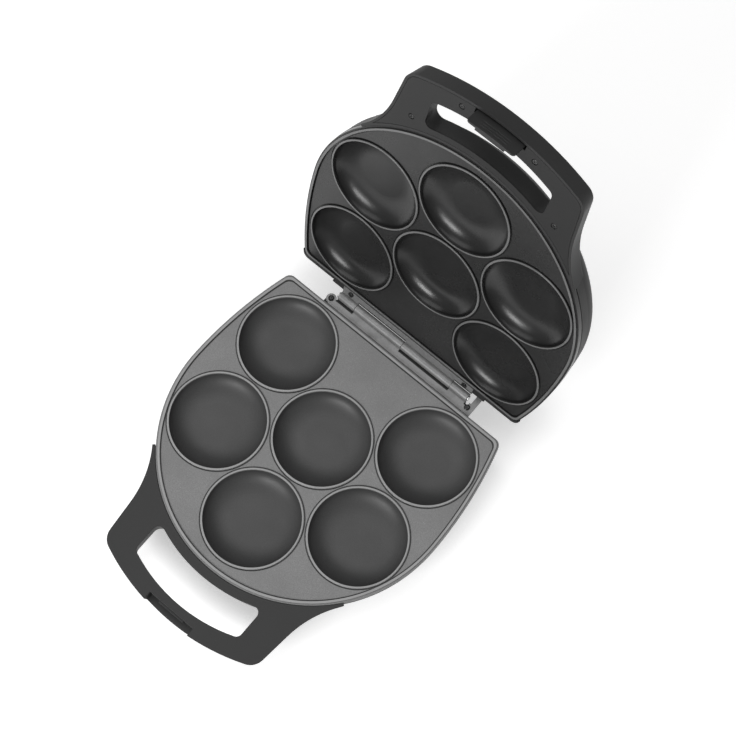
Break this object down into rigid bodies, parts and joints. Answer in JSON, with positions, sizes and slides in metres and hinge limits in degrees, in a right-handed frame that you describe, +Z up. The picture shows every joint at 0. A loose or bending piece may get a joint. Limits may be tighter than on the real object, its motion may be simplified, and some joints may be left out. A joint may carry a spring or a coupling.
{
  "type": "arepa maker",
  "caption": "Countertop arepa maker with round-dished plates in a hinged clamshell housing, open on its stop, with slotted handles and a snap latch.",
  "frame": {"origin": "middle of the footprint of the open appliance, on the surface that it stands on", "axes": "+X along the hinge to the right seen from the handle, +Y from the handle to the hinge, +Z up"},
  "size_m": [0.275, 0.4387, 0.3462],
  "materials": {
    "housing": "fine moulded texture",
    "cover": "fine moulded texture",
    "plate": "cast, speckled non-stick coating",
    "element": "dull",
    "steel": "plated",
    "dark_steel": "dark coated sheet",
    "reflector": "rolled sheet",
    "fuse": "satin",
    "ceramic": "glazed",
    "rubber": "matt",
    "panel": "satin",
    "red_lens": "clear tinted",
    "green_lens": "clear tinted",
    "lamp": "clear"
  },
  "bodies": {
    "base": {"base_housing": "housing", "base_handle_cover": "cover", "base_handle_screws": "steel", "base_plate": "plate", "base_heater": "element", "base_heater_clamps": "steel", "base_clamp_screws": "steel", "base_reflector": "reflector", "base_plate_screws": "steel", "thermostat": "steel", "thermal_fuse": "fuse", "fuse_strap": "steel", "terminal_block": "ceramic", "cord_gland": "rubber", "feet": "rubber", "base_hinge_leaf": "dark_steel", "base_hinge_screws": "steel", "hinge_pin": "steel"},
    "lid": {"lid_housing": "housing", "lid_handle_cover": "cover", "lid_handle_screws": "steel", "lid_plate": "plate", "lid_heater": "element", "lid_heater_clamps": "steel", "lid_clamp_screws": "steel", "lid_reflector": "reflector", "lid_plate_screws": "steel", "lid_top_panel": "panel", "lid_hinge_leaf": "dark_steel", "lid_hinge_screws": "steel", "power_lens": "red_lens", "ready_lens": "green_lens", "indicator_lamps": "lamp", "latch_pin": "steel", "latch_spring": "steel"},
    "latch": {"latch": "housing"}
  },
  "joints": [
    {"name": "lid_hinge", "type": "hinge", "parent": "base", "child": "lid", "pos_m": [0, 0.0965, 0.047], "axis": [1, 0, 0], "range_deg": [0, 109.2]},
    {"name": "latch_pivot", "type": "hinge", "parent": "lid", "child": "latch", "pos_m": [0, 0.20817, 0.33574], "axis": [1, 0, 0], "range_deg": [-7, 0], "stiffness_Nm_per_rad": 0.02}
  ]
}
